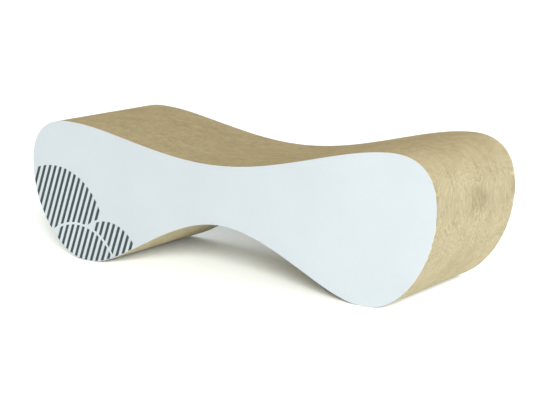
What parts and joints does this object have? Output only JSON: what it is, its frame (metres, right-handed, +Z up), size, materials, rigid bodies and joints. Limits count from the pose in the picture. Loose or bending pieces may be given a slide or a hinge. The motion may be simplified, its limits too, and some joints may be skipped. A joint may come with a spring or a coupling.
{
  "type": "cardboard cat scratcher lounge",
  "caption": "Wave-shaped corrugated cardboard lounge for cats to scratch and lie on: a stack of corrugated sheets between two white-faced side panels, with a dipped seat and an arch below.",
  "frame": {"origin": "on the floor, at the middle of the length and of the depth", "axes": "+X along the length, +Y from the front panel to the rear panel, +Z up"},
  "size_m": [0.87, 0.278, 0.26],
  "materials": {
    "white_board": "cool white coated liner, matt to slightly satin, brown fluted cut edge; part of the front face has a dark hatched print",
    "corrugated_kraft": "uncoated light kraft corrugated board, open flutes at every cut edge"
  },
  "bodies": {
    "root": {"front_panel": "white_board", "core_sheet_01": "corrugated_kraft", "core_sheet_02": "corrugated_kraft", "core_sheet_03": "corrugated_kraft", "core_sheet_04": "corrugated_kraft", "core_sheet_05": "corrugated_kraft", "core_sheet_06": "corrugated_kraft", "core_sheet_07": "corrugated_kraft", "core_sheet_08": "corrugated_kraft", "core_sheet_09": "corrugated_kraft", "core_sheet_10": "corrugated_kraft", "core_sheet_11": "corrugated_kraft", "core_sheet_12": "corrugated_kraft", "core_sheet_13": "corrugated_kraft", "core_sheet_14": "corrugated_kraft", "core_sheet_15": "corrugated_kraft", "core_sheet_16": "corrugated_kraft", "core_sheet_17": "corrugated_kraft", "core_sheet_18": "corrugated_kraft", "core_sheet_19": "corrugated_kraft", "core_sheet_20": "corrugated_kraft", "core_sheet_21": "corrugated_kraft", "core_sheet_22": "corrugated_kraft", "core_sheet_23": "corrugated_kraft", "core_sheet_24": "corrugated_kraft", "core_sheet_25": "corrugated_kraft", "core_sheet_26": "corrugated_kraft", "core_sheet_27": "corrugated_kraft", "core_sheet_28": "corrugated_kraft", "core_sheet_29": "corrugated_kraft", "core_sheet_30": "corrugated_kraft", "core_sheet_31": "corrugated_kraft", "core_sheet_32": "corrugated_kraft", "core_sheet_33": "corrugated_kraft", "core_sheet_34": "corrugated_kraft", "core_sheet_35": "corrugated_kraft", "core_sheet_36": "corrugated_kraft", "core_sheet_37": "corrugated_kraft", "core_sheet_38": "corrugated_kraft", "core_sheet_39": "corrugated_kraft", "core_sheet_40": "corrugated_kraft", "core_sheet_41": "corrugated_kraft", "core_sheet_42": "corrugated_kraft", "core_sheet_43": "corrugated_kraft", "core_sheet_44": "corrugated_kraft", "core_sheet_45": "corrugated_kraft", "core_sheet_46": "corrugated_kraft", "core_sheet_47": "corrugated_kraft", "core_sheet_48": "corrugated_kraft", "core_sheet_49": "corrugated_kraft", "core_sheet_50": "corrugated_kraft", "core_sheet_51": "corrugated_kraft", "core_sheet_52": "corrugated_kraft", "core_sheet_53": "corrugated_kraft", "core_sheet_54": "corrugated_kraft", "rear_panel": "white_board"}
  },
  "joints": []
}
